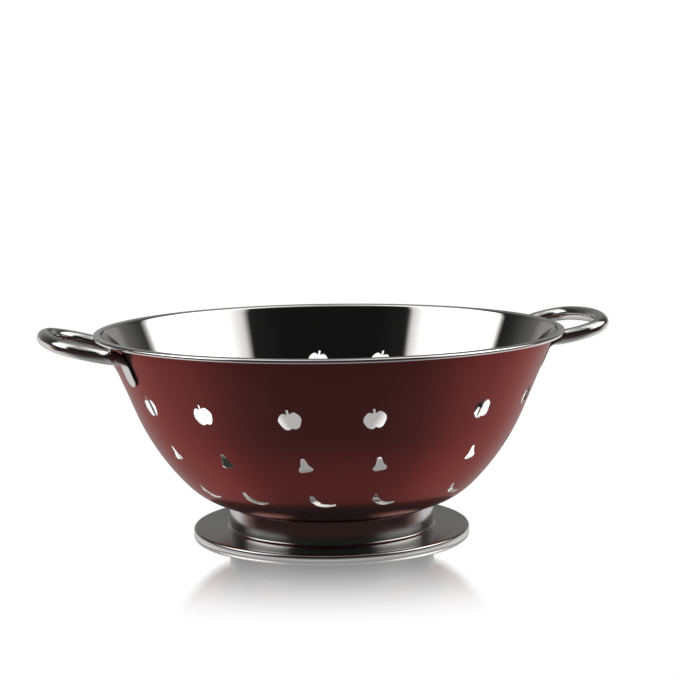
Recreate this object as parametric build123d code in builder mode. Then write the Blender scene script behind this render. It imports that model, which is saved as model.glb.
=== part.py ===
from build123d import *
from math import acos, asin, cos, degrees, radians, sin, tan
import os

# Colander: a deep-drawn bowl with fruit cut-outs, a foot ring and two welded tube handles.
# Millimetres. Z is up, the foot stands on Z = 0, the bowl's axis is Z, the handles lie along X.

# Bowl pressing, outer surface unless said otherwise
rim_radius = 140.0
rim_height = 121.2
sheet = 0.6
base_height = 16.7
knuckle_radius = 48.0
body_radius = 137.7
knuckle_angle = 45.3
wall_angle = 67.3
lip_width = 5.5
lip_bend_radius = 2.0
rim_curl_radius = 1.25
rim_curl_turn = 270.0

# Fruit cut-outs, punched in columns that lean with the punching tool. Each row stands at a share of
# the height from the base to the rim.
column_start = -161.4
column_pitches = (22.0, 25.0, 22.0, 33.0, 26.0, 24.0, 24.0, 24.0, 21.0, 20.0, 25.0, 23.5, 23.5, 23.5, 23.5)
column_slant_angle = 10.0
apple_row_share = 0.654
apple_width = 13.0
apple_body_height = 11.0
apple_stem_width = 1.3
apple_stem_height = 3.4
pear_row_share = 0.401
pear_width = 8.2
pear_height = 10.0
banana_row_share = 0.174
banana_width = 13.4
banana_height = 12.0
pear_twist = 2.7
banana_twist = 7.2

# Drain holes in the flat base, in rings that reach over a share of the flat inside the foot ring's weld
drain_diameter = 6.0
drain_field_share = 0.602
drain_ring_counts = (6, 12)

# Foot ring
foot_flange_width = 21.5
foot_neck_set_out = 9.1
foot_sheet = 0.8
foot_curl_radius = 1.4
foot_curl_turn = 270.0
foot_land_depth = 0.15
foot_bend_radius = 1.2
foot_root_radius = 1.6
foot_weld_width = 6.0

# Handles: bent tube with flattened, rounded ends
handle_projection = 32.4
tube_diameter = 8.6
handle_root_angle = 14.2
handle_rise_angle = 13.5
handle_arm_straight = 3.0
handle_shoulder_flare = 11.5
handle_shoulder_setback = 14.8
arm_end_inset = 1.4
handle_clearance = 0.3
tab_width = 12.0
tab_thickness = 1.6
tab_length = 12.7
tab_tip_radius = 5.7
elbow_half_width = 5.2
elbow_half_thickness = 2.7
tab_neck_half_width = 5.6
tab_neck_half_thickness = 0.7

# Length that every cutter and trimmed piece runs past the surface that it meets
overrun = 3.0

# Outline points as shares of each fruit's width and height, from its centre
apple_half_shares = ((0.0, 0.36), (0.27, 0.47), (0.5, 0.1), (0.34, -0.38), (0.15, -0.5), (0.0, -0.42))
pear_half_shares = ((0.0, 0.5), (0.15, 0.42), (0.29, -0.02), (0.5, -0.28), (0.36, -0.47), (0.0, -0.5))
banana_outer_shares = ((-0.42, 0.52), (-0.49, 0.12), (-0.34, -0.2), (-0.09, -0.41), (0.19, -0.48), (0.48, -0.45))
banana_inner_shares = ((0.5, -0.34), (0.25, -0.3), (0.02, -0.18), (-0.15, 0.04), (-0.24, 0.25), (-0.28, 0.49))

# Heights and radii where the bowl's outer surface changes from one arc to the next
knuckle_top = base_height + knuckle_radius * (1 - cos(radians(knuckle_angle)))
body_top = knuckle_top + body_radius * (cos(radians(knuckle_angle)) - cos(radians(wall_angle)))
sheet_run = sheet / sin(radians(wall_angle))
lip_corner_radius = rim_radius - lip_width
wall_top_radius = lip_corner_radius + sheet_run
body_end_radius = wall_top_radius - (rim_height - body_top) / tan(radians(wall_angle))
body_run = body_radius * (sin(radians(wall_angle)) - sin(radians(knuckle_angle)))
knuckle_end_radius = body_end_radius - body_run
base_flat_radius = knuckle_end_radius - knuckle_radius * sin(radians(knuckle_angle))
wall_height = rim_height - base_height
weld_start_radius = base_flat_radius - foot_weld_width
foot_neck_radius = base_flat_radius + foot_neck_set_out
foot_radius = foot_neck_radius + foot_flange_width


def wall_at(height):
    """Outer radius and slope from the horizontal, in degrees, of the bowl at a height."""
    if height < knuckle_top:
        slope = acos(1 - (height - base_height) / knuckle_radius)
        return base_flat_radius + knuckle_radius * sin(slope), degrees(slope)
    if height < body_top:
        slope = acos(cos(radians(knuckle_angle)) - (height - knuckle_top) / body_radius)
        rise = body_radius * (sin(slope) - sin(radians(knuckle_angle)))
        return knuckle_end_radius + rise, degrees(slope)
    return body_end_radius + (height - body_top) / tan(radians(wall_angle)), wall_angle


def wall_plane(height, azimuth, slant=0.0):
    """Plane on the outer surface: Z points out of the bowl, Y up the wall, turned by the slant."""
    radius, slope = wall_at(height)
    around = radians(azimuth)
    tilt = radians(slope)
    origin = (radius * cos(around), radius * sin(around), height)
    outward = (sin(tilt) * cos(around), sin(tilt) * sin(around), -cos(tilt))
    sideways = (-sin(around), cos(around), 0)
    return Plane(origin=origin, x_dir=sideways, z_dir=outward).rotated((0, 0, slant))


def wall_line(inset):
    """Base, knuckle and body of the bowl's profile, moved inwards by the inset."""
    flat = Line((0, base_height + inset), (base_flat_radius, base_height + inset))
    knuckle = JernArc(flat @ 1, flat % 1, knuckle_radius - inset, knuckle_angle)
    return JernArc(knuckle @ 1, knuckle % 1, body_radius - inset, wall_angle - knuckle_angle)


def bowl_line(depth):
    """Bowl's profile from the axis to the end of its rolled edge, at a depth below the inner surface."""
    body = wall_line(sheet - depth)
    wall_length = (wall_slant_height - depth * cos(radians(wall_angle)) - (body @ 1).Y) / sin(radians(wall_angle))
    wall = PolarLine(body @ 1, wall_length, wall_angle)
    bend = JernArc(wall @ 1, wall % 1, lip_bend_radius - depth, -wall_angle)
    lip = Line(bend @ 1, (rim_radius - rim_curl_radius, rim_height - depth))
    return JernArc(lip @ 1, lip % 1, rim_curl_radius - depth, -rim_curl_turn)


def foot_line(depth):
    """Foot ring's profile from its weld flange to the end of its rolled edge, at a depth in the sheet."""
    flat = Line((weld_start_radius, base_height - depth), (base_flat_radius, base_height - depth))
    seat = JernArc(flat @ 1, flat % 1, knuckle_radius + depth, flange_angle)
    shoulder = JernArc(seat @ 1, seat % 1, foot_bend_radius - depth, -(90 + flange_angle))
    neck = Line(shoulder @ 1, (foot_neck_radius - depth, foot_top + foot_root_radius))
    root = JernArc(neck @ 1, neck % 1, foot_root_radius + depth, 90)
    flange = Line(root @ 1, (foot_radius - foot_curl_radius, foot_top - depth))
    return flat, JernArc(flange @ 1, flange % 1, foot_curl_radius - depth, -foot_curl_turn)


def scaled(shares, width, height):
    """Outline points from shares of a width and a height."""
    return [(x * width, y * height) for x, y in shares]


# Bowl: sheet with its lip and rolled edge, revolved about the axis
lip_tangent = lip_bend_radius * tan(radians(wall_angle) / 2)
wall_slant_height = rim_height - lip_tangent * sin(radians(wall_angle))
apple_z = base_height + wall_height * apple_row_share
pear_z = base_height + wall_height * pear_row_share
banana_z = base_height + wall_height * banana_row_share

with BuildPart() as bowl:
    with BuildSketch(Plane.XZ):
        with BuildLine():
            inner_end = bowl_line(0.0)
            outer_end = bowl_line(sheet)
            Line(inner_end @ 1, outer_end @ 1)
            Line((0, base_height), (0, base_height + sheet))
        make_face()
    revolve(axis=Axis.Z)

    # Fruit cut-outs, one apple, pear and banana in each column
    azimuth = column_start
    for pitch in column_pitches:
        with BuildSketch(wall_plane(apple_z, azimuth, column_slant_angle)):
            with BuildLine():
                Spline(*scaled(apple_half_shares, apple_width, apple_body_height))
                mirror(about=Plane.YZ)
            make_face()
            with Locations((0, apple_body_height / 2)):
                Rectangle(apple_stem_width, apple_stem_height)
        with BuildSketch(wall_plane(pear_z, azimuth + pear_twist, column_slant_angle)):
            with BuildLine():
                Spline(*scaled(pear_half_shares, pear_width, pear_height))
                mirror(about=Plane.YZ)
            make_face()
        with BuildSketch(wall_plane(banana_z, azimuth + banana_twist, column_slant_angle)):
            with BuildLine():
                outer = Spline(*scaled(banana_outer_shares, banana_width, banana_height))
                inner = Spline(*scaled(banana_inner_shares, banana_width, banana_height))
                Line(outer @ 1, inner @ 0)
                Line(inner @ 1, outer @ 0)
            make_face()
        azimuth += pitch
    extrude(amount=overrun, both=True, mode=Mode.SUBTRACT)

    # Round drain holes: one at the centre and rings about it
    ring_spacing = weld_start_radius * drain_field_share / len(drain_ring_counts)
    with BuildSketch(Plane.XY.offset(base_height)):
        Circle(drain_diameter / 2)
        for ring, count in enumerate(drain_ring_counts, start=1):
            with PolarLocations(ring * ring_spacing, count):
                Circle(drain_diameter / 2)
    extrude(amount=overrun, both=True, mode=Mode.SUBTRACT)
bowl.part.label = "bowl"

# Foot ring: weld flange against the bowl's underside, neck, flat flange and rolled edge
flange_reach = foot_neck_set_out - foot_bend_radius
flange_angle = degrees(asin(flange_reach / (knuckle_radius + foot_bend_radius)))
foot_top = 2 * foot_curl_radius - foot_land_depth

with BuildPart() as foot_ring:
    with BuildSketch(Plane.XZ):
        with BuildLine():
            upper_start, upper_end = foot_line(0.0)
            lower_start, lower_end = foot_line(foot_sheet)
            Line(upper_start @ 0, lower_start @ 0)
            Line(upper_end @ 1, lower_end @ 1)
        make_face()
        with Locations((foot_radius - foot_curl_radius, 0)):
            below = (2 * (foot_curl_radius + overrun), overrun)
            Rectangle(*below, align=(Align.CENTER, Align.MAX), mode=Mode.SUBTRACT)
    revolve(axis=Axis.Z)
foot_ring.part.label = "foot_ring"

# Solid that fills the bowl's outer surface, to seat the handles' tabs on it
with BuildPart() as bowl_filled:
    with BuildSketch(Plane.XZ):
        with BuildLine():
            body = wall_line(0.0)
            wall = Line(body @ 1, (wall_top_radius, rim_height))
            top = Line(wall @ 1, (0, rim_height))
            Line(top @ 1, (0, base_height))
        make_face()
    revolve(axis=Axis.Z)

# Handle, drawn on the +X side. The loop lies in a plane that rises outwards from the arms' ends.
tube_radius = tube_diameter / 2
rise = radians(handle_rise_angle)
arm_end_radius = rim_radius - arm_end_inset
arm_end_x = arm_end_radius * cos(radians(handle_root_angle))
arm_end_y = arm_end_radius * sin(radians(handle_root_angle))
rim_underside = rim_height - 2 * rim_curl_radius
arm_end_z = rim_underside - handle_clearance - tube_radius / cos(rise)
tip_x = (rim_radius + handle_projection - tube_radius - arm_end_x) / cos(rise)
loop_normal = (-sin(rise), 0, cos(rise))
loop_plane = Plane(origin=(arm_end_x, 0, arm_end_z), x_dir=(cos(rise), 0, sin(rise)), z_dir=loop_normal)

# Shoulder corner: it touches the arm where its straight part ends, and the tip's arc from inside
shoulder_x = tip_x - handle_shoulder_setback
shoulder_y = arm_end_y + handle_shoulder_flare
tip_arc_radius = (shoulder_y ** 2 + handle_shoulder_setback ** 2) / (2 * handle_shoulder_setback)
arm_way = Vector(shoulder_x, -handle_shoulder_flare).normalized()
corner_start = Vector(tip_arc_radius - tip_x, -arm_end_y) + arm_way * handle_arm_straight
corner_room = tip_arc_radius - corner_start.X * arm_way.Y + corner_start.Y * arm_way.X
corner_radius = (tip_arc_radius ** 2 - corner_start.length ** 2) / (2 * corner_room)

# Elbow: where the arm's line, in its own vertical plane, meets the line of the tab's middle
tab_mid_offset = tab_thickness / 2 / sin(radians(wall_angle))
arm_end_wall, wall_slope = wall_at(arm_end_z)
arm_gap = arm_end_radius - arm_end_wall - tab_mid_offset
elbow_drop = arm_gap * tan(rise) / (1 - tan(rise) / tan(radians(wall_slope)))
elbow_z = arm_end_z - elbow_drop
elbow_radius = wall_at(elbow_z)[0] + tab_mid_offset
tab_top_z = elbow_z - tube_radius


def tube_section(radius, height, azimuth, slope):
    """Plane across the tube: X runs around the bowl, Z follows the tube inwards and down."""
    around = radians(azimuth)
    down = radians(slope)
    origin = (radius * cos(around), radius * sin(around), height)
    along = (-cos(down) * cos(around), -cos(down) * sin(around), -sin(down))
    return Plane(origin=origin, x_dir=(-sin(around), cos(around), 0), z_dir=along)


with BuildPart() as handle:
    with BuildLine(loop_plane) as loop:
        Line((0, -arm_end_y), (shoulder_x, -shoulder_y))
        ThreePointArc((shoulder_x, -shoulder_y), (tip_x, 0), (shoulder_x, shoulder_y))
        Line((shoulder_x, shoulder_y), (0, arm_end_y))
        corners = loop.vertices().sort_by(Axis.X)[-2:]
        fillet(corners, corner_radius)
    centre_line = loop.wires()[0]
    with BuildSketch(Plane(origin=centre_line @ 0, z_dir=centre_line % 0)):
        Circle(tube_radius)
    sweep(path=centre_line)
    arm_ends = ((-handle_root_angle, centre_line @ 0, -(centre_line % 0)),
                (handle_root_angle, centre_line @ 1, centre_line % 1))
    for azimuth, arm_end, inward in arm_ends:
        seat = wall_plane(tab_top_z, azimuth)
        tab_top = seat.origin + seat.z_dir * tab_thickness / 2
        with BuildSketch(Plane(origin=arm_end, x_dir=inward.cross(loop_plane.z_dir), z_dir=inward)):
            Circle(tube_radius)
        with BuildSketch(tube_section(elbow_radius, elbow_z, azimuth, (handle_rise_angle + wall_slope) / 2)):
            Ellipse(elbow_half_width, elbow_half_thickness)
        with BuildSketch(Plane(origin=tab_top, x_dir=seat.x_dir, z_dir=-seat.y_dir)):
            Ellipse(tab_neck_half_width, tab_neck_half_thickness)
        loft()
        with BuildSketch(seat.offset(-overrun)) as tab_outline:
            Rectangle(tab_width, tab_length, align=(Align.CENTER, Align.MAX))
            fillet(tab_outline.vertices().group_by(Axis.Z)[0], tab_tip_radius)
        extrude(amount=overrun + tab_thickness)
    add(bowl_filled.part, mode=Mode.SUBTRACT)

handle_left = handle.part.rotate(Axis.Z, 180)
handle_right = handle.part
handle_left.label = "handle_left"
handle_right.label = "handle_right"

os.makedirs("parts", exist_ok=True)
export_step(bowl.part, "parts/bowl.step")
export_step(foot_ring.part, "parts/foot_ring.step")
export_step(handle_left, "parts/handle_left.step")
export_step(handle_right, "parts/handle_right.step")
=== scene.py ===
# %% [markdown]
# A footed colander, dressed for the camera. The bowl is one sheet of stainless steel, deep-drawn,
# punched with fruit shapes, polished inside and lacquered dark red outside. It stands on a polished
# foot ring, and two bent tubes with flattened ends are its handles.
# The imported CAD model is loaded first: every size below is fitted to it, in metres.

# %% Load the frame
from math import acos, asin, atan2, cos, pi, radians, sin, tan

import bmesh
import bpy
from mathutils import Matrix, Vector


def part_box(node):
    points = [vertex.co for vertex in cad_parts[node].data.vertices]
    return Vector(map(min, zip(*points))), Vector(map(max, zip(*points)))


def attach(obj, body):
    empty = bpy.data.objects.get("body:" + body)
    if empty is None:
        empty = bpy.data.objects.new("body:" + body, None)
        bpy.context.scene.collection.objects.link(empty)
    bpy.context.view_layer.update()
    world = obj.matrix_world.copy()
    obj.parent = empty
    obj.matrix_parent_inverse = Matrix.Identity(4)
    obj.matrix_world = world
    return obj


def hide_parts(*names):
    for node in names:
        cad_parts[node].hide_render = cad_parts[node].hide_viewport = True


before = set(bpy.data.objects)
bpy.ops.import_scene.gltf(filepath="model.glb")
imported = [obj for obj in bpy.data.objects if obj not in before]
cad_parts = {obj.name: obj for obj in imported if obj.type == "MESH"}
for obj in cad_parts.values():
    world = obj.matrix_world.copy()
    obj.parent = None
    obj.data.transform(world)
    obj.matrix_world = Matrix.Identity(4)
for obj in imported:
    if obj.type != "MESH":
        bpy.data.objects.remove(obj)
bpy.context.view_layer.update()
MM = 0.001
bowl_low, bowl_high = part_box("bowl")
foot_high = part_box("foot_ring")[1]
grip_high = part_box("handle_right")[1]
rim_radius = bowl_high.x
rim_height = bowl_high.z
base_height = bowl_low.z
foot_radius = foot_high.x
handle_reach = grip_high.x
print("rim radius", round(rim_radius, 4), "height", round(rim_height, 4),
      "reach", round(handle_reach, 4))

# %% [markdown]
# The photograph was taken with a long lens, a little above the rim. The camera stands in front of
# the bowl, turned so that the left handle is nearer to it than the right one.

# %% Place the camera
view_turn = radians(-14.8)
camera_side = 15.2 * MM
camera_distance = 1091.1 * MM
camera_height = 250.5 * MM
camera_pitch = radians(7.14)
camera_roll = radians(0.70)
lens_shift = -0.0216
sensor_width = 36.0
lens_length = 97.43


def turned(point, angle):
    """A point turned about the object's axis."""
    return Matrix.Rotation(angle, 4, "Z") @ Vector(point)


def make_camera():
    """The camera at the photograph's place, looking slightly down."""
    data = bpy.data.cameras.new("camera")
    data.lens = lens_length
    data.sensor_width = sensor_width
    data.shift_x = lens_shift
    camera = bpy.data.objects.new("camera", data)
    place = turned((camera_side, -camera_distance, camera_height), view_turn)
    turn = Matrix.Rotation(view_turn, 4, "Z")
    tilt = Matrix.Rotation(pi / 2 - camera_pitch, 4, "X")
    roll = Matrix.Rotation(-camera_roll, 4, "Z")
    camera.matrix_world = Matrix.Translation(place) @ turn @ tilt @ roll
    bpy.context.scene.collection.objects.link(camera)
    bpy.context.scene.camera = camera
    return camera


make_camera()
print("camera at", [round(v, 3) for v in bpy.context.scene.camera.matrix_world.translation])

# %% [markdown]
# One small function adds a node to any tree. Settings are the node's own properties, and each entry
# of links is either a socket of another node or a plain value for that input. A second one is short
# for the many math nodes, and a third turns the usual hex codes into Blender's linear colours.

# %% A helper for nodes
def add(tree, kind, links=None, **settings):
    """Adds a node with its settings, and fills its inputs from sockets or values."""
    node = tree.nodes.new(kind)
    for name, value in settings.items():
        setattr(node, name, value)
    for key, value in (links or {}).items():
        if isinstance(value, bpy.types.NodeSocket):
            tree.links.new(value, node.inputs[key])
        else:
            node.inputs[key].default_value = value
    return node


def calc(tree, operation, *values):
    """The result of a math node on sockets or plain values."""
    return add(tree, "ShaderNodeMath", dict(enumerate(values)), operation=operation).outputs[0]


def hex_colour(code):
    """An sRGB hex colour as linear red, green, blue and alpha."""
    shares = [int(code[i:i + 2], 16) / 255 for i in (0, 2, 4)]
    linear = [v / 12.92 if v <= 0.04045 else ((v + 0.055) / 1.055) ** 2.4 for v in shares]
    return (*linear, 1.0)


print("mid grey in linear light:", round(hex_colour("808080")[0], 3))


# %% [markdown]
# Polished stainless steel is nearly a mirror. What gives it away as steel is its warm grey tint and
# the very fine, uneven haze of the polishing mop. Both come from noise on the object's own place, so
# they stay put when the camera moves. The bowl's inside is the best mirror. The bent tubes and the
# foot ring are polished less, so they are a little rougher, and the punched edges are only cut.

# %% Polished stainless steel
def steel_material(name, tint, roughness, haze, ripple):
    """Mop-polished stainless steel: haze in patches and a faint ripple of the sheet."""
    material = bpy.data.materials.new(name)
    material.use_nodes = True
    tree = material.node_tree
    tree.nodes.clear()
    place = add(tree, "ShaderNodeTexCoord").outputs["Object"]
    patches = add(tree, "ShaderNodeTexNoise", {"Vector": place, "Scale": 45.0, "Detail": 3.0})
    haze_map = add(tree, "ShaderNodeMapRange", {
        "Value": patches.outputs["Fac"], "From Min": 0.35, "From Max": 0.7,
        "To Min": roughness, "To Max": roughness + haze})
    waves = add(tree, "ShaderNodeTexNoise", {"Vector": place, "Scale": 28.0, "Detail": 1.0})
    bump = add(tree, "ShaderNodeBump", {
        "Height": waves.outputs["Fac"], "Strength": ripple, "Distance": 0.0004})
    shader = add(tree, "ShaderNodeBsdfPrincipled", {
        "Base Color": hex_colour(tint), "Metallic": 1.0,
        "Roughness": haze_map.outputs["Result"], "Normal": bump.outputs["Normal"]})
    add(tree, "ShaderNodeOutputMaterial", {"Surface": shader.outputs["BSDF"]})
    return material


mirror_steel = steel_material("polished stainless sheet", "dcdad8", 0.02, 0.04, 0.1)
foot_steel = steel_material("polished stainless foot", "bab8b6", 0.15, 0.04, 0.05)
tube_steel = steel_material("polished stainless tube", "cccac8", 0.11, 0.05, 0.08)
edge_steel = steel_material("punched stainless edge", "b9b6b3", 0.3, 0.1, 0.0)
print("steels", [m.name for m in (mirror_steel, foot_steel, tube_steel, edge_steel)])

# %% [markdown]
# The outside is a thin translucent red lacquer over bright steel. Light passes it, meets the metal
# and comes back red, so it is made as a tinted metal and not as a red plastic: the flanks glow where
# they face a lamp, and the front, which faces nothing bright, goes almost black. A thin clear coat
# gives the pale rim at grazing angles, and a small share of a plain diffuse surface gives the haze
# that lifts the paint a little off pure red.

# %% Dark red lacquer on steel
def lacquer_material():
    """Sprayed lacquer over metal: red metallic depth, fine orange peel, a clear glossy skin."""
    material = bpy.data.materials.new("dark red lacquer on steel")
    material.use_nodes = True
    tree = material.node_tree
    tree.nodes.clear()
    place = add(tree, "ShaderNodeTexCoord").outputs["Object"]
    cloud = add(tree, "ShaderNodeTexNoise", {"Vector": place, "Scale": 9.0, "Detail": 2.0})
    colour = add(tree, "ShaderNodeMix", {
        0: cloud.outputs["Fac"], 6: hex_colour("6e1918"), 7: hex_colour("781e1d")},
        data_type="RGBA")
    peel = add(tree, "ShaderNodeTexNoise", {"Vector": place, "Scale": 420.0, "Detail": 2.0})
    bump = add(tree, "ShaderNodeBump", {
        "Height": peel.outputs["Fac"], "Strength": 0.04, "Distance": 0.0002})
    shader = add(tree, "ShaderNodeBsdfPrincipled", {
        "Base Color": colour.outputs[2], "Metallic": 0.95, "Roughness": 0.26,
        "Specular Tint": (0.85, 0.55, 0.52, 1.0), "Coat Weight": 0.12, "Coat Roughness": 0.04,
        "Normal": bump.outputs["Normal"]})
    haze = add(tree, "ShaderNodeBsdfDiffuse", {"Color": (1.0, 0.95, 0.95, 1.0)})
    skin = add(tree, "ShaderNodeMixShader", {
        0: 0.06, 1: shader.outputs["BSDF"], 2: haze.outputs["BSDF"]})
    add(tree, "ShaderNodeOutputMaterial", {"Surface": skin.outputs[0]})
    return material


lacquer = lacquer_material()
print("outside finish:", lacquer.name)

# %% [markdown]
# The bowl is drawn in a press: a flat base, a tight knuckle, a rounder body and a straight upper
# wall, all tangent to each other. Its profile is written as those arcs. The lip then bends out level
# and its edge is rolled under. A profile is a list of (radius, height) points on both faces of the
# sheet.

# %% Arcs and lines of a profile
def arc_points(start, heading, radius, turn, steps):
    """Points of an arc from a start point, leaving along a heading; positive turns go left."""
    side = 1 if turn > 0 else -1
    centre = (start[0] - side * radius * sin(heading), start[1] + side * radius * cos(heading))
    points = []
    for step in range(1, steps + 1):
        angle = heading + turn * step / steps - side * pi / 2
        points.append((centre[0] + radius * cos(angle), centre[1] + radius * sin(angle)))
    return points


def line_points(start, end, steps):
    """Points along a straight run, without its start."""
    return [(start[0] + (end[0] - start[0]) * i / steps, start[1] + (end[1] - start[1]) * i / steps)
            for i in range(1, steps + 1)]


print("a quarter turn ends at", [round(v, 3) for v in arc_points((0, 0), 0.0, 1.0, pi / 2, 4)[-1]])

# %% Sizes of the bowl
sheet = 0.6 * MM
knuckle_radius = 48.0 * MM
body_radius = 137.7 * MM
knuckle_angle = radians(45.3)
wall_angle = radians(67.3)
lip_width = 5.5 * MM
lip_bend_radius = 2.0 * MM
rim_curl_radius = 1.25 * MM
rim_curl_turn = radians(270)
knuckle_top = base_height + knuckle_radius * (1 - cos(knuckle_angle))
body_top = knuckle_top + body_radius * (cos(knuckle_angle) - cos(wall_angle))
wall_top_radius = rim_radius - lip_width + sheet / sin(wall_angle)
body_end_radius = wall_top_radius - (rim_height - body_top) / tan(wall_angle)
knuckle_end_radius = body_end_radius - body_radius * (sin(wall_angle) - sin(knuckle_angle))
base_flat_radius = knuckle_end_radius - knuckle_radius * sin(knuckle_angle)
lip_tangent = lip_bend_radius * tan(wall_angle / 2)
wall_slant_height = rim_height - lip_tangent * sin(wall_angle)


def wall_at(height):
    """Outer radius and slope of the bowl's wall at a height."""
    if height < knuckle_top:
        slope = acos(1 - (height - base_height) / knuckle_radius)
        return base_flat_radius + knuckle_radius * sin(slope), slope
    if height < body_top:
        slope = acos(cos(knuckle_angle) - (height - knuckle_top) / body_radius)
        return knuckle_end_radius + body_radius * (sin(slope) - sin(knuckle_angle)), slope
    return body_end_radius + (height - body_top) / tan(wall_angle), wall_angle


print("flat base", round(base_flat_radius, 4), "wall at the rim", round(wall_at(rim_height)[0], 4))

# %% Both faces of the bowl's sheet
base_steps, knuckle_steps, body_steps, wall_steps = 14, 26, 24, 22
lip_bend_steps, lip_steps, rim_curl_steps = 8, 3, 16


def bowl_face(depth):
    """One face of the sheet, from the axis to the end of the rolled edge, at a depth."""
    inset = sheet - depth
    points = [(0.0, base_height + inset)]
    points += line_points(points[-1], (base_flat_radius, base_height + inset), base_steps)
    points += arc_points(points[-1], 0.0, knuckle_radius - inset, knuckle_angle, knuckle_steps)
    points += arc_points(points[-1], knuckle_angle, body_radius - inset,
                         wall_angle - knuckle_angle, body_steps)
    rise = wall_slant_height - depth * cos(wall_angle) - points[-1][1]
    wall_end = (points[-1][0] + rise / tan(wall_angle), points[-1][1] + rise)
    points += line_points(points[-1], wall_end, wall_steps)
    points += arc_points(points[-1], wall_angle, lip_bend_radius - depth, -wall_angle,
                         lip_bend_steps)
    lip_end = (rim_radius - rim_curl_radius, rim_height - depth)
    points += line_points(points[-1], lip_end, lip_steps)
    points += arc_points(points[-1], 0.0, rim_curl_radius - depth, -rim_curl_turn, rim_curl_steps)
    return points


inner_face = bowl_face(0.0)
outer_face = bowl_face(sheet)
bowl_profile = inner_face + outer_face[::-1]
print("bowl profile", len(bowl_profile), "points")

# %% [markdown]
# A lathe in Geometry Nodes turns any such profile about the axis. It makes a flat grid, gives each
# row of the grid one turn about Z, and each column the radius and height of one profile point. The
# points of the profile come in as a small mesh, so the same tree makes the bowl and the foot ring.

# %% Helpers for meshes and geometry trees
def link_mesh(name, vertices, edges=(), faces=()):
    """A mesh object at the origin, in the scene."""
    mesh = bpy.data.meshes.new(name)
    mesh.from_pydata(vertices, edges, faces)
    mesh.update()
    item = bpy.data.objects.new(name, mesh)
    bpy.context.scene.collection.objects.link(item)
    return item


def new_tree(name, inputs):
    """A geometry tree with named inputs and one geometry output."""
    tree = bpy.data.node_groups.new(name, "GeometryNodeTree")
    for label, kind, value in inputs:
        socket = tree.interface.new_socket(label, in_out="INPUT", socket_type=kind)
        if value is not None:
            socket.default_value = value
    tree.interface.new_socket("Geometry", in_out="OUTPUT", socket_type="NodeSocketGeometry")
    source = tree.nodes.new("NodeGroupInput")
    return tree, source.outputs


def profile_mesh(name, profile):
    """A profile's points as a helper mesh in the XZ plane."""
    return link_mesh(name, [(radius, 0.0, height) for radius, height in profile])


bowl_points = profile_mesh("bowl_profile", bowl_profile)
print("helper mesh with", len(bowl_points.data.vertices), "points")

# %% The lathe
bowl_segments = 288
foot_segments = 256
weld_distance = 0.001 * MM


def add_lathe(tree, profile, count, segments):
    """Nodes that turn a profile's points about Z. Returns the mesh and its column numbers."""
    grid = add(tree, "GeometryNodeMeshGrid", {
        "Size X": 1.0, "Size Y": 1.0,
        "Vertices X": calc(tree, "ADD", segments, 1.0), "Vertices Y": count})
    index = add(tree, "GeometryNodeInputIndex").outputs[0]
    row = calc(tree, "FLOOR", calc(tree, "DIVIDE", index, count))
    column = calc(tree, "MODULO", index, count)
    angle = calc(tree, "MULTIPLY", calc(tree, "DIVIDE", row, segments), 2 * pi)
    place = add(tree, "GeometryNodeInputPosition")
    point = add(tree, "GeometryNodeSampleIndex", {
        "Geometry": profile, "Index": column}, data_type="FLOAT_VECTOR", domain="POINT")
    tree.links.new(place.outputs[0], point.inputs["Value"])
    spun = add(tree, "ShaderNodeVectorRotate", {
        "Vector": point.outputs[0], "Axis": (0.0, 0.0, 1.0), "Angle": angle})
    shaped = add(tree, "GeometryNodeSetPosition", {
        "Geometry": grid.outputs["Mesh"], "Position": spun.outputs[0]})
    outwards = add(tree, "GeometryNodeFlipFaces", {"Mesh": shaped.outputs[0]})
    return outwards.outputs[0], column


print("lathe of", bowl_segments, "and", foot_segments, "segments")

# %% From a tree to a plain mesh
def run_tree(name, tree, values):
    """Runs a geometry tree on an empty mesh and returns the result as a plain mesh object."""
    holder = link_mesh(name + "_holder", [])
    modifier = holder.modifiers.new("build", "NODES")
    modifier.node_group = tree
    identifiers = {item.name: item.identifier for item in tree.interface.items_tree
                   if item.in_out == "INPUT"}
    for label, value in values.items():
        modifier[identifiers[label]] = value
    bpy.context.view_layer.update()
    graph = bpy.context.evaluated_depsgraph_get()
    mesh = bpy.data.meshes.new_from_object(holder.evaluated_get(graph))
    bpy.data.objects.remove(holder)
    mesh.name = name
    item = bpy.data.objects.new(name, mesh)
    bpy.context.scene.collection.objects.link(item)
    print(name, "made:", len(mesh.polygons), "faces,", [m.name for m in mesh.materials if m])
    return item


print("geometry trees so far:", len(bpy.data.node_groups))

# %% [markdown]
# The fruit are punched in columns that lean a little, an apple over a pear over a banana. Each fruit
# is a closed outline, extruded to a short punch. The tree puts one punch of each kind at every
# column, square to the wall at its own height, and takes them all out of the sheet in one go. The
# outlines are a few points in shares of the fruit's width and height, joined by a smooth curve.

# %% Curves and shares of the outlines
apple_half_shares = (
    (0.0, 0.36), (0.27, 0.47), (0.5, 0.1), (0.34, -0.38), (0.15, -0.5), (0.0, -0.42))
pear_half_shares = (
    (0.0, 0.5), (0.15, 0.42), (0.29, -0.02), (0.5, -0.28), (0.36, -0.47), (0.0, -0.5))
banana_outer_shares = (
    (-0.42, 0.52), (-0.49, 0.12), (-0.34, -0.2), (-0.09, -0.41), (0.19, -0.48), (0.48, -0.45))
banana_inner_shares = (
    (0.5, -0.34), (0.25, -0.3), (0.02, -0.18), (-0.15, 0.04), (-0.24, 0.25), (-0.28, 0.49))


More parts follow.
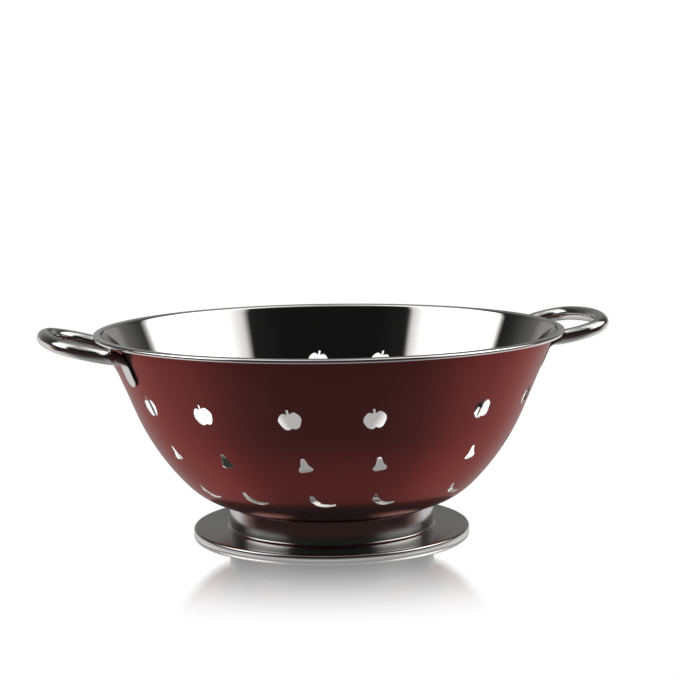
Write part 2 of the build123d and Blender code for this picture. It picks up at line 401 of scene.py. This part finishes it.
def smooth_run(shares, steps=5):
    """A Catmull-Rom curve through a run of points, ends included."""
    points = [Vector(p) for p in shares]
    ends = [2 * points[0] - points[1], *points, 2 * points[-1] - points[-2]]
    run = []
    for i in range(1, len(ends) - 2):
        a, b, c, d = ends[i - 1:i + 3]
        for step in range(steps):
            t = step / steps
            run.append(0.5 * (2 * b + (c - a) * t + (2 * a - 5 * b + 4 * c - d) * t ** 2
                              + (3 * b - a - 3 * c + d) * t ** 3))
    return run + [points[-1]]


def mirrored(run):
    """A closed outline from its right half, which runs from top to bottom on the middle line."""
    left = [Vector((-p.x, p.y)) for p in reversed(run[1:-1])]
    return run + left


def scaled(run, width, height):
    """An outline in shares as real points."""
    return [Vector((p.x * width, p.y * height)) for p in run]


print("half an apple:", len(smooth_run(apple_half_shares)), "points")

# %% Outlines of the punches
apple_width = 13.0 * MM
apple_height = 11.0 * MM
stem_half_width = 0.65 * MM
stem_top = 7.2 * MM
pear_width = 8.2 * MM
pear_height = 10.0 * MM
banana_width = 13.4 * MM
banana_height = 12.0 * MM
pear_outline = scaled(mirrored(smooth_run(pear_half_shares)), pear_width, pear_height)
banana_run = smooth_run(banana_outer_shares) + smooth_run(banana_inner_shares)
banana_outline = scaled(banana_run, banana_width, banana_height)


def apple_with_stem():
    """The apple's outline with its stem standing in the dimple at the top."""
    half = scaled(smooth_run(apple_half_shares), apple_width, apple_height)
    outside = [p for p in half if p.x > stem_half_width]
    foot_of_stem = Vector((stem_half_width, half[0].y + (outside[0].y - half[0].y) * 0.5))
    right = [Vector((stem_half_width, stem_top)), foot_of_stem, *outside, half[-1]]
    left = [Vector((-p.x, p.y)) for p in reversed(right[:-1])]
    return right + left


apple_outline = apple_with_stem()
print("outline points", len(apple_outline), len(pear_outline), len(banana_outline))


# %% Solid punches
punch_reach = 3.0 * MM


def punch(name, outline):
    """A closed prism of an outline, reaching the same way to both sides of its plane."""
    area = sum(a.x * b.y - b.x * a.y for a, b in zip(outline, outline[1:] + outline[:1]))
    if area < 0:
        outline = outline[::-1]
    count = len(outline)
    low = [(p.x, p.y, -punch_reach) for p in outline]
    high = [(p.x, p.y, punch_reach) for p in outline]
    sides = [(i, (i + 1) % count, count + (i + 1) % count, count + i) for i in range(count)]
    faces = [tuple(range(count))[::-1], tuple(range(count, 2 * count)), *sides]
    item = link_mesh(name, low + high, faces=faces)
    item.data.materials.append(edge_steel)
    return item


drain_radius = 3.0 * MM
drain_corners = 28
drain_turns = [2 * pi * i / drain_corners for i in range(drain_corners)]
drain_outline = [Vector((drain_radius * cos(a), drain_radius * sin(a))) for a in drain_turns]
punches = {
    "Apple": punch("apple_punch", apple_outline),
    "Pear": punch("pear_punch", pear_outline),
    "Banana": punch("banana_punch", banana_outline),
    "Drain": punch("drain_punch", drain_outline),
}
print("punches", {name: len(item.data.polygons) for name, item in punches.items()})

# %% Where the punches go
column_start = -161.4
column_pitches = (22.0, 25.0, 22.0, 33.0, 26.0, 24.0, 24.0, 24.0, 21.0, 20.0, 25.0, 23.5, 23.5,
                  23.5, 23.5)
column_slant = radians(10.0)
row_shares = {"Apple": 0.654, "Pear": 0.401, "Banana": 0.174}
fruit_twists = {"Apple": 0.0, "Pear": radians(2.7), "Banana": radians(7.2)}
foot_weld_width = 6.0 * MM
drain_field_share = 0.602
drain_counts = (6, 12)
drain_spacing = drain_field_share / len(drain_counts) * (base_flat_radius - foot_weld_width)
column_angles = [radians(column_start + sum(column_pitches[:i]))
                 for i in range(len(column_pitches))]
column_points = link_mesh("columns", [(angle, 0.0, 0.0) for angle in column_angles])
drain_places = [(0.0, 0.0, base_height)]
for ring, count in enumerate(drain_counts, start=1):
    for step in range(count):
        angle = 2 * pi * step / count
        out = ring * drain_spacing
        drain_places.append((out * cos(angle), out * sin(angle), base_height))
drain_points = link_mesh("drains", drain_places)
print("columns", len(column_angles), "drain holes", len(drain_places))

# %% [markdown]
# The perforating tree: lathe the sheet, tell its faces apart by profile column (polished inside and
# over the rolled edge, lacquered outside), then subtract the punches. Column angles arrive as the X
# of a few helper points, which the tree swings round to the wall.

# %% Parts of the bowl's tree
def bowl_inputs():
    """The tree's named inputs, with five for each fruit."""
    inputs = [("Profile", "NodeSocketObject", None), ("Profile points", "NodeSocketInt", 2),
              ("Segments", "NodeSocketInt", bowl_segments),
              ("Painted from column", "NodeSocketInt", 1),
              ("Columns", "NodeSocketObject", None), ("Drains", "NodeSocketObject", None),
              ("Slant", "NodeSocketFloat", 0.0), ("Drain punch", "NodeSocketObject", None)]
    for fruit in row_shares:
        inputs.append((f"{fruit} punch", "NodeSocketObject", None))
        inputs += [(f"{fruit} {size}", "NodeSocketFloat", None)
                   for size in ("radius", "height", "slope", "twist")]
    return inputs


def geometry_of(tree, item):
    """The mesh of an object that comes in as an input."""
    return add(tree, "GeometryNodeObjectInfo", {"Object": item}).outputs["Geometry"]


def add_finishes(tree, mesh, column, first_painted):
    """Steel on the whole sheet, and lacquer on the faces from a profile column on."""
    polished = add(tree, "GeometryNodeSetMaterial", {"Geometry": mesh, "Material": mirror_steel})
    corner_column = add(tree, "GeometryNodeFieldOnDomain", {0: column},
                        data_type="FLOAT", domain="POINT")
    face_column = add(tree, "GeometryNodeFieldOnDomain", {0: corner_column.outputs[0]},
                      data_type="FLOAT", domain="FACE")
    outside = add(tree, "FunctionNodeCompare", {0: face_column.outputs[0], 1: first_painted},
                  data_type="FLOAT", operation="GREATER_THAN")
    painted = add(tree, "GeometryNodeSetMaterial", {
        "Geometry": polished.outputs[0], "Selection": outside.outputs[0], "Material": lacquer})
    return add(tree, "GeometryNodeMergeByDistance", {
        "Geometry": painted.outputs[0], "Distance": weld_distance}).outputs[0]


print("inputs of the bowl's tree:", len(bowl_inputs()))

# %% A row of punches
def add_row(tree, given, fruit, spots, angle):
    """One row of a fruit's punches: one at every column, square to the wall."""
    around = calc(tree, "ADD", angle, given[f"{fruit} twist"])
    start = add(tree, "ShaderNodeCombineXYZ", {
        0: given[f"{fruit} radius"], 2: given[f"{fruit} height"]})
    place = add(tree, "ShaderNodeVectorRotate", {
        "Vector": start.outputs[0], "Axis": (0.0, 0.0, 1.0), "Angle": around})
    facing = add(tree, "ShaderNodeCombineXYZ", {
        1: calc(tree, "SUBTRACT", pi, given[f"{fruit} slope"]), 2: around})
    spin = add(tree, "ShaderNodeCombineXYZ", {2: calc(tree, "ADD", given["Slant"], pi / 2)})
    tool = add(tree, "GeometryNodeTransform", {
        "Geometry": geometry_of(tree, given[f"{fruit} punch"]), "Rotation": spin.outputs[0]})
    turn = add(tree, "GeometryNodeStoreNamedAttribute", {
        "Geometry": spots, "Name": "facing", "Value": facing.outputs[0]},
        data_type="FLOAT_VECTOR", domain="POINT")
    moved = add(tree, "GeometryNodeSetPosition", {
        "Geometry": turn.outputs[0], "Position": place.outputs[0]})
    stored = add(tree, "GeometryNodeInputNamedAttribute", {"Name": "facing"},
                 data_type="FLOAT_VECTOR")
    return add(tree, "GeometryNodeInstanceOnPoints", {
        "Points": moved.outputs[0], "Instance": tool.outputs[0],
        "Rotation": stored.outputs[0]}).outputs[0]


print("rows:", *row_shares)

# %% The perforated bowl's tree
def bowl_tree():
    """Geometry tree that turns, punches and paints the bowl."""
    tree, given = new_tree("Perforated bowl", bowl_inputs())
    sheet_mesh, column = add_lathe(tree, geometry_of(tree, given["Profile"]),
                                   given["Profile points"], given["Segments"])
    finished = add_finishes(tree, sheet_mesh, column, given["Painted from column"])
    cutters = add(tree, "GeometryNodeJoinGeometry")
    spots = geometry_of(tree, given["Columns"])
    place = add(tree, "GeometryNodeInputPosition").outputs[0]
    angle = add(tree, "ShaderNodeSeparateXYZ", {0: place}).outputs[0]
    rows = [add_row(tree, given, fruit, spots, angle) for fruit in row_shares]
    drains = add(tree, "GeometryNodeInstanceOnPoints", {
        "Points": geometry_of(tree, given["Drains"]),
        "Instance": geometry_of(tree, given["Drain punch"])})
    for punched in (*rows, drains.outputs[0]):
        tree.links.new(punched, cutters.inputs[0])
    solid_cutters = add(tree, "GeometryNodeRealizeInstances", {0: cutters.outputs[0]})
    pierced = add(tree, "GeometryNodeMeshBoolean", {
        "Mesh 1": finished, "Mesh 2": solid_cutters.outputs[0]},
        operation="DIFFERENCE", solver="MANIFOLD")
    whole = add(tree, "GeometryNodeRealizeInstances", {0: pierced.outputs[0]})
    add(tree, "NodeGroupOutput", {0: whole.outputs[0]})
    return tree


# %% Make the bowl
bowl_values = {
    "Profile": bowl_points,
    "Profile points": len(bowl_profile),
    "Segments": bowl_segments,
    "Painted from column": len(inner_face),
    "Columns": column_points,
    "Drains": drain_points,
    "Slant": column_slant,
    "Drain punch": punches["Drain"],
}
for fruit, share in row_shares.items():
    row_height = base_height + (rim_height - base_height) * share
    radius, slope = wall_at(row_height)
    bowl_values[f"{fruit} punch"] = punches[fruit]
    bowl_values[f"{fruit} radius"] = radius
    bowl_values[f"{fruit} height"] = row_height
    bowl_values[f"{fruit} slope"] = slope
    bowl_values[f"{fruit} twist"] = fruit_twists[fruit]
bowl = run_tree("bowl_shell", bowl_tree(), bowl_values)


# %% [markdown]
# Faces that meet at a small angle shade as one surface, and the punched edges stay crisp.

# %% Smooth shading with crisp edges
sheet_crease = radians(32)
tube_crease = radians(60)


def smooth_by_angle(item, limit):
    """Smooth faces, with edges sharper than the limit marked sharp."""
    mesh = item.data
    mesh.polygons.foreach_set("use_smooth", [True] * len(mesh.polygons))
    work = bmesh.new()
    work.from_mesh(mesh)
    for edge in work.edges:
        edge.smooth = len(edge.link_faces) == 2 and edge.calc_face_angle(0.0) < limit
    work.to_mesh(mesh)
    work.free()
    mesh.update()
    print(item.name, "sharp edges:", sum(edge.use_edge_sharp for edge in mesh.edges))


smooth_by_angle(bowl, sheet_crease)

# %% [markdown]
# The foot ring is a second pressing: a weld flange that follows the bowl's underside, a short neck
# and a wide flat flange whose edge is rolled under. It is turned by the same lathe.

# %% The foot ring's profile
foot_sheet = 0.8 * MM
foot_neck_radius = base_flat_radius + 9.1 * MM
foot_curl_radius = 1.4 * MM
foot_curl_turn = radians(270)
foot_land_depth = 0.15 * MM
foot_bend_radius = 1.2 * MM
foot_root_radius = 1.6 * MM
flange_reach = foot_neck_radius - foot_bend_radius - base_flat_radius
flange_angle = asin(flange_reach / (knuckle_radius + foot_bend_radius))
foot_top = 2 * foot_curl_radius - foot_land_depth
weld_steps, seat_steps, neck_bend_steps, neck_steps = 2, 5, 9, 5
root_steps, flange_steps, foot_curl_steps = 9, 10, 18


def foot_face(depth):
    """One face of the foot ring's sheet, from its weld flange to the end of its rolled edge."""
    points = [(base_flat_radius - foot_weld_width, base_height - depth)]
    points += line_points(points[-1], (base_flat_radius, base_height - depth), weld_steps)
    points += arc_points(points[-1], 0.0, knuckle_radius + depth, flange_angle, seat_steps)
    points += arc_points(points[-1], flange_angle, foot_bend_radius - depth,
                         -(pi / 2 + flange_angle), neck_bend_steps)
    neck_end = (foot_neck_radius - depth, foot_top + foot_root_radius)
    points += line_points(points[-1], neck_end, neck_steps)
    points += arc_points(points[-1], -pi / 2, foot_root_radius + depth, pi / 2, root_steps)
    flange_end = (foot_radius - foot_curl_radius, foot_top - depth)
    points += line_points(points[-1], flange_end, flange_steps)
    points += arc_points(points[-1], 0.0, foot_curl_radius - depth, -foot_curl_turn,
                         foot_curl_steps)
    return [(radius, max(height, 0.0)) for radius, height in points]


upper_face = foot_face(0.0)
foot_profile = upper_face + foot_face(foot_sheet)[::-1] + upper_face[:1]
foot_points = profile_mesh("foot_profile", foot_profile)
print("foot profile", len(foot_profile), "points, neck", round(foot_neck_radius, 4))

# %% The foot ring's tree and mesh
def lathe_tree():
    """Geometry tree that only turns a profile and gives it one finish."""
    tree, given = new_tree("Turned ring", [
        ("Profile", "NodeSocketObject", None), ("Profile points", "NodeSocketInt", 2),
        ("Segments", "NodeSocketInt", foot_segments)])
    ring = add_lathe(tree, geometry_of(tree, given["Profile"]),
                     given["Profile points"], given["Segments"])[0]
    welded = add(tree, "GeometryNodeMergeByDistance", {
        "Geometry": ring, "Distance": weld_distance})
    whole = add(tree, "GeometryNodeRealizeInstances", {0: welded.outputs[0]})
    finish = add(tree, "GeometryNodeSetMaterial", {
        "Geometry": whole.outputs[0], "Material": foot_steel})
    add(tree, "NodeGroupOutput", {0: finish.outputs[0]})
    return tree


foot = run_tree("foot_ring_shell", lathe_tree(), {
    "Profile": foot_points, "Profile points": len(foot_profile), "Segments": foot_segments})
smooth_by_angle(foot, sheet_crease)

# %% [markdown]
# Each handle starts as a round tube. It is bent to a loop in one plane that rises outwards, and its
# ends are pressed flat, bent down and welded to the wall under the rim. Its mesh is a row of cross
# sections: round on the loop, oval at the elbow and flat, with rounded sides, on the tab.

# %% Sizes of the handles
tube_radius = 4.3 * MM
root_angle = radians(14.2)
rise_angle = radians(13.5)
arm_straight = 3.0 * MM
shoulder_flare = 11.5 * MM
shoulder_setback = 14.8 * MM
arm_end_inset = 1.4 * MM
handle_clearance = 0.3 * MM
tab_half_width = 6.0 * MM
tab_half_thickness = 0.8 * MM
tab_length = 12.7 * MM
tab_seat_gap = 0.05 * MM
tab_tip_share = 0.45
tab_squareness = 3.6
round_squareness = 2.0
arm_end_radius = rim_radius - arm_end_inset
arm_end_x = arm_end_radius * cos(root_angle)
arm_end_y = arm_end_radius * sin(root_angle)
arm_end_z = rim_height - 2 * rim_curl_radius - handle_clearance - tube_radius / cos(rise_angle)
tip_x = (handle_reach - tube_radius - arm_end_x) / cos(rise_angle)
shoulder_x = tip_x - shoulder_setback
shoulder_half_width = arm_end_y + shoulder_flare
print("handle: arm ends at", round(arm_end_x, 4), "loop is", round(tip_x, 4), "long")

# %% The centre line of the handle
arm_steps, bend_steps = 4, 14


def half_loop():
    """Centre line on the loop's plane, from an arm's end to the middle of the tip."""
    start = Vector((0.0, -arm_end_y))
    along = (Vector((shoulder_x, -shoulder_half_width)) - start).normalized()
    inside = Vector((-along.y, along.x))
    tip_radius = (shoulder_half_width ** 2 + shoulder_setback ** 2) / (2 * shoulder_setback)
    tip_centre = Vector((tip_x - tip_radius, 0.0))
    corner_start = start + along * arm_straight
    offset = corner_start - tip_centre
    corner_radius = ((tip_radius ** 2 - offset.length_squared)
                     / (2 * (tip_radius + offset.dot(inside))))
    corner_centre = corner_start + inside * corner_radius
    points = [start + along * arm_straight * i / arm_steps for i in range(arm_steps + 1)]
    out = (corner_centre - tip_centre).normalized()
    first = atan2(-inside.y, -inside.x)
    last = atan2(out.y, out.x)
    shares = [i / bend_steps for i in range(1, bend_steps + 1)]
    for share in shares:
        angle = first + (last - first) * share
        points.append(corner_centre + corner_radius * Vector((cos(angle), sin(angle))))
    for share in shares:
        angle = last * (1 - share)
        points.append(tip_centre + tip_radius * Vector((cos(angle), sin(angle))))
    return points


print("centre line of half a loop:", len(half_loop()), "points")

# %% The handle's cross sections
tab_steps, elbow_steps = 18, 12


def handle_sections():
    """Half of the handle as (centre, sideways, half width, half thickness, squareness)."""
    around = Vector((cos(root_angle), -sin(root_angle), 0.0))
    sideways = Vector((sin(root_angle), cos(root_angle), 0.0))
    up = Vector((0.0, 0.0, 1.0))
    slope = wall_angle
    up_wall = around * cos(slope) + up * sin(slope)
    off_wall = around * sin(slope) - up * cos(slope)
    gap = arm_end_radius - wall_at(arm_end_z)[0] - tab_half_thickness / sin(slope)
    elbow_z = arm_end_z - gap * tan(rise_angle) / (1 - tan(rise_angle) / tan(slope))
    stand_off = off_wall * (tab_half_thickness + tab_seat_gap)
    elbow = around * wall_at(elbow_z)[0] + up * elbow_z + stand_off
    tab_z = elbow_z - tube_radius
    tab_top = around * wall_at(tab_z)[0] + up * tab_z + stand_off
    sections = []
    for i in range(1, tab_steps + 1):
        down = tab_length * (i / tab_steps) ** 2
        width = tab_half_width * (1 - max(0.0, 1 - down / tab_half_width) ** 2) ** 0.5
        swell = min(1.0, tab_tip_share + (1 - tab_tip_share) * (down / tab_half_thickness) ** 0.5)
        place = tab_top - up_wall * (tab_length - down)
        sections.append((place, sideways, width, tab_half_thickness * swell, tab_squareness))
    arm_end = Vector((arm_end_x, -arm_end_y, arm_end_z))
    for i in range(1, elbow_steps + 1):
        t = i / (elbow_steps + 1)
        place = tab_top * (1 - t) ** 2 + elbow * 2 * t * (1 - t) + arm_end * t ** 2
        share = t * t * (3 - 2 * t)
        width = tab_half_width + (tube_radius - tab_half_width) * share
        thick = tab_half_thickness + (tube_radius - tab_half_thickness) * share
        squareness = tab_squareness + (round_squareness - tab_squareness) * share
        sections.append((place, sideways, width, thick, squareness))
    outwards = Vector((cos(rise_angle), 0.0, sin(rise_angle)))
    normal = Vector((-sin(rise_angle), 0.0, cos(rise_angle)))
    loop = half_loop()
    for i, point in enumerate(loop):
        ahead = loop[min(i + 1, len(loop) - 1)] - loop[max(i - 1, 0)]
        if i == len(loop) - 1:
            ahead = Vector((0.0, 1.0))
        way = (outwards * ahead.x + Vector((0.0, ahead.y, 0.0))).normalized()
        place = Vector((arm_end_x, point.y, arm_end_z)) + outwards * point.x
        sections.append((place, normal.cross(way), tube_radius, tube_radius, round_squareness))
    return sections


print("sections of half a handle:", len(handle_sections()))

# %% Skin the handles
ring_corners = 28


def section_ring(centre, sideways, thickness_way, half_width, half_thickness, squareness):
    """Points round one cross section."""
    ring = []
    for corner in range(ring_corners):
        angle = 2 * pi * corner / ring_corners
        c, s = cos(angle), sin(angle)
        across = half_width * abs(c) ** (2 / squareness) * (1 if c >= 0 else -1)
        through = half_thickness * abs(s) ** (2 / squareness) * (1 if s >= 0 else -1)
        ring.append(centre + sideways * across + thickness_way * through)
    return ring


def make_handle(name, turn):
    """The whole handle, turned about the bowl's axis."""
    half = handle_sections()
    whole = half + [(Vector((c.x, -c.y, c.z)), Vector((s.x, -s.y, s.z)), w, t, q)
                    for c, s, w, t, q in reversed(half[:-1])]
    rings = []
    for i, (centre, sideways, width, thick, squareness) in enumerate(whole):
        way = (whole[min(i + 1, len(whole) - 1)][0] - whole[max(i - 1, 0)][0]).normalized()
        across = (sideways - way * sideways.dot(way)).normalized()
        rings.append(section_ring(centre, across, way.cross(across), width, thick, squareness))
    count = len(rings[0])
    vertices = [turned(p, turn) for ring in rings for p in ring]
    faces = []
    for low in range(0, (len(rings) - 1) * count, count):
        for k in range(count):
            ahead = (k + 1) % count
            faces.append((low + k, low + ahead, low + count + ahead, low + count + k))
    faces.append(tuple(range(count))[::-1])
    faces.append(tuple(range(len(vertices) - count, len(vertices))))
    item = link_mesh(name, vertices, faces=faces)
    work = bmesh.new()
    work.from_mesh(item.data)
    bmesh.ops.recalc_face_normals(work, faces=work.faces)
    work.to_mesh(item.data)
    work.free()
    item.data.materials.append(tube_steel)
    smooth_by_angle(item, tube_crease)
    print(name, len(item.data.polygons), "faces")
    return item


handle_right = make_handle("handle_right_tube", 0.0)
handle_left = make_handle("handle_left_tube", pi)

# %% [markdown]
# Helper meshes have done their work and leave the scene. The finished pieces ride on the one body
# of the model and stand for its nodes.

# %% Tidy up and hand the pieces to the frame
for helper in (*punches.values(), column_points, drain_points, bowl_points, foot_points):
    bpy.data.objects.remove(helper)
for piece, node, slot in ((bowl, "bowl", "bowl_paint"), (foot, "foot_ring", "polished_steel"),
                          (handle_left, "handle_left", "polished_steel"),
                          (handle_right, "handle_right", "polished_steel")):
    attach(piece, "root")
    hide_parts(node)
    print(piece.name, "stands for", node)

# %% [markdown]
# The stage is a pale glossy floor, like the white acrylic sheet of a photo studio. Seen directly it
# is as white as the background, so it glows by itself. Near the foot a sharp mirror is mixed in,
# which fades outwards. A fine grain in the mirror's normal blurs the image a little, and a slight
# lean of the normal sets the image where the photograph has it. From below the floor is clear, so
# that the underside can be looked at.

# %% The floor
floor_half = 3.0
floor_lean = 0.035
floor_grain = 0.02
mirror_share = 0.76
mirror_near = 80.0 * MM
mirror_far = 220.0 * MM
floor_corners = [(x * floor_half, y * floor_half, 0)
                 for x, y in ((-1, -1), (1, -1), (1, 1), (-1, 1))]
floor = link_mesh("floor", floor_corners, faces=[(0, 1, 2, 3)])
floor_material = bpy.data.materials.new("pale glossy floor")
floor_material.use_nodes = True
tree = floor_material.node_tree
tree.nodes.clear()
spot = add(tree, "ShaderNodeTexCoord").outputs["Object"]
reach = add(tree, "ShaderNodeVectorMath", {0: spot}, operation="LENGTH").outputs["Value"]
fade = add(tree, "ShaderNodeMapRange", {
    "Value": reach, "From Min": mirror_near, "From Max": mirror_far,
    "To Min": mirror_share, "To Max": 0.0}, interpolation_type="SMOOTHSTEP")
white = add(tree, "ShaderNodeEmission", {"Color": (1, 1, 1, 1), "Strength": 1.0})
grain = add(tree, "ShaderNodeTexWhiteNoise", {"Vector": spot}, noise_dimensions="3D")
centred = add(tree, "ShaderNodeVectorMath", {
    0: grain.outputs["Color"], 1: (0.5, 0.5, 0.5)}, operation="SUBTRACT").outputs[0]
lean = add(tree, "ShaderNodeVectorMath", {
    0: centred, "Scale": floor_grain}, operation="SCALE").outputs[0]
upright = add(tree, "ShaderNodeVectorMath", {
    0: lean, 1: tuple(turned((0.0, floor_lean, 1.0), view_turn))}, operation="ADD").outputs[0]
mirror = add(tree, "ShaderNodeBsdfGlossy", {
    "Color": (1, 1, 1, 1), "Roughness": 0.0, "Normal": upright})
mixed = add(tree, "ShaderNodeMixShader", {
    0: fade.outputs[0], 1: white.outputs[0], 2: mirror.outputs[0]})
below = add(tree, "ShaderNodeNewGeometry").outputs["Backfacing"]
clear = add(tree, "ShaderNodeBsdfTransparent")
sided = add(tree, "ShaderNodeMixShader", {0: below, 1: mixed.outputs[0], 2: clear.outputs[0]})
add(tree, "ShaderNodeOutputMaterial", {"Surface": sided.outputs[0]})
floor.data.materials.append(floor_material)
floor.visible_diffuse = False
floor.visible_glossy = False
floor.visible_shadow = False
print("floor mirrors up to", mirror_far, "m from the middle")

# %% [markdown]
# Polished steel looks like what it mirrors, so the studio is drawn on the world by direction: the
# bearing goes round the object, 0 towards the camera and 90 to its right, and the height goes up
# from the horizon. Two broad lamps stand at the sides. In front is a dark room, which makes the
# middle of the bowl go black, and behind are a dim wall and a low band. Overhead hangs a softer
# ceiling.

# %% Directions and helpers of the studio
world = bpy.data.worlds.new("studio")
bpy.context.scene.world = world
world.use_nodes = True
tree = world.node_tree
tree.nodes.clear()
way = add(tree, "ShaderNodeTexCoord").outputs["Generated"]
faced = add(tree, "ShaderNodeVectorRotate", {
    "Vector": way, "Axis": (0.0, 0.0, 1.0), "Angle": -view_turn}).outputs[0]
parts = add(tree, "ShaderNodeSeparateXYZ", {0: faced}).outputs
bearing = calc(tree, "ARCTAN2", parts[0], calc(tree, "MULTIPLY", parts[1], -1.0))
height = calc(tree, "ARCSINE", parts[2])


def ramp(stops):
    """Brightness all round the object, from a list of (bearing in degrees, brightness)."""
    share = add(tree, "ShaderNodeMapRange", {
        "Value": bearing, "From Min": -pi, "From Max": pi}).outputs[0]
    curve = add(tree, "ShaderNodeValToRGB", {0: share})
    points = curve.color_ramp.elements
    for i, (angle, light) in enumerate(stops):
        place = (angle + 180) / 360
        stop = points[i] if i < 2 else points.new(place)
        stop.position = place
        stop.color = (light, light, light, 1.0)
    return curve.outputs[0]


def step(start, end):
    """A soft step from 0 to 1 between two heights in degrees."""
    return add(tree, "ShaderNodeMapRange", {
        "Value": height, "From Min": radians(start), "From Max": radians(end)},
        interpolation_type="SMOOTHSTEP").outputs[0]


def blend(share, low, high, **settings):
    """Mixes two brightnesses, each a socket, a colour or a grey value."""
    links = {0: share}
    for key, tone in ((6, low), (7, high)):
        links[key] = (tone, tone, tone, 1.0) if isinstance(tone, (int, float)) else tone
    return add(tree, "ShaderNodeMix", links, data_type="RGBA", **settings).outputs[2]


print("the camera sees the studio turned by", round(view_turn, 3))

# %% The upper half of the studio
lamp_strength = 2.0
panels = ramp([
    (-180, 0.08), (-150, 0.04), (-130, 0.015), (-113, 0.006), (-109, 0.55), (-92, 1.0),
    (-70, 0.8), (-57, 0.45), (-52, 0.3), (-49, 0.006), (-30, 0.003), (30, 0.003), (51, 0.006),
    (55, 0.3), (62, 0.45), (76, 0.8), (100, 1.0), (118, 0.6), (122, 0.2), (125, 0.015),
    (140, 0.015), (150, 0.05), (180, 0.08)])
lamps = calc(tree, "MULTIPLY", panels, lamp_strength)
low_band = ramp([
    (-180, 0.06), (-176, 0.07), (-172, 0.22), (-150, 0.2), (-138, 0.06), (-120, 0.02),
    (120, 0.02), (138, 0.06), (150, 0.2), (172, 0.22), (176, 0.07), (180, 0.06)])
back_wall = ramp([
    (-180, 0.16), (-160, 0.16), (-138, 0.08), (-120, 0.02), (120, 0.02), (138, 0.08),
    (160, 0.16), (180, 0.16)])
ceiling = ramp([
    (-180, 0.28), (-125, 0.3), (-110, 1.0), (-56, 1.0), (-46, 0.4), (46, 0.4), (56, 1.0),
    (118, 1.0), (130, 0.3), (180, 0.28)])
walls = blend(step(14, 20), blend(step(9, 12), low_band, back_wall), lamps)
upper = blend(step(44, 53), walls, ceiling)
print("upper half: four bands of light, lamps times", lamp_strength)

# %% [markdown]
# Below the horizon is the table that the colander stands on. It lights the paint and the undersides
# of the handles, brighter from the sides and the back than from the front. The skirting just under
# the horizon is dark in front, and there it is reddish, because a real table mirrors the bowl.

# %% The lower half of the studio
table = ramp([
    (-180, 0.2), (-165, 0.34), (-146, 0.5), (-125, 0.64), (-105, 0.54), (-88, 0.4), (-73, 0.25),
    (-57, 0.14), (-30, 0.08), (0, 0.06), (30, 0.08), (57, 0.12), (73, 0.2), (88, 0.36),
    (105, 0.5), (125, 0.62), (146, 0.5), (165, 0.34), (180, 0.2)])
skirting = ramp([
    (-180, 0.2), (-165, 0.38), (-146, 0.55), (-127, 0.64), (-105, 0.15), (-90, 0.03),
    (90, 0.03), (105, 0.15), (127, 0.64), (146, 0.6), (165, 0.4), (180, 0.2)])
front = ramp([(-180, 0.0), (-125, 0.0), (-95, 1.0), (95, 1.0), (125, 0.0), (180, 0.0)])
straight_down = 0.26
bowl_blush = (1.0, 0.5, 0.5, 1.0)
blush = blend(front, 1.0, bowl_blush)
red_skirting = blend(1.0, skirting, blush, blend_type="MULTIPLY")
ground = blend(step(-74, -48), straight_down, table)
lower = blend(step(-36, -22), ground, red_skirting)
print("lower half: table, skirting and", straight_down, "straight down")

# %% [markdown]
# The background itself is plain white for the camera. The rays of the floor's sharp mirror are
# singular rays, and they see plain white too, so that the floor stays white where it mirrors
# nothing. Every other ray sees the studio.

# %% Light the scene
studio_strength = 1.5
light = blend(step(-3, 3), lower, upper)
studio = add(tree, "ShaderNodeBackground", {"Color": light, "Strength": studio_strength})
backdrop = add(tree, "ShaderNodeBackground", {"Color": (1, 1, 1, 1), "Strength": 1.0})
path = add(tree, "ShaderNodeLightPath").outputs
plain = calc(tree, "MAXIMUM", path["Is Camera Ray"], path["Is Singular Ray"])
sky = add(tree, "ShaderNodeMixShader", {0: plain, 1: studio.outputs[0], 2: backdrop.outputs[0]})
add(tree, "ShaderNodeOutputWorld", {"Surface": sky.outputs[0]})
bpy.context.scene.view_settings.view_transform = "Standard"
print("studio nodes:", len(tree.nodes))
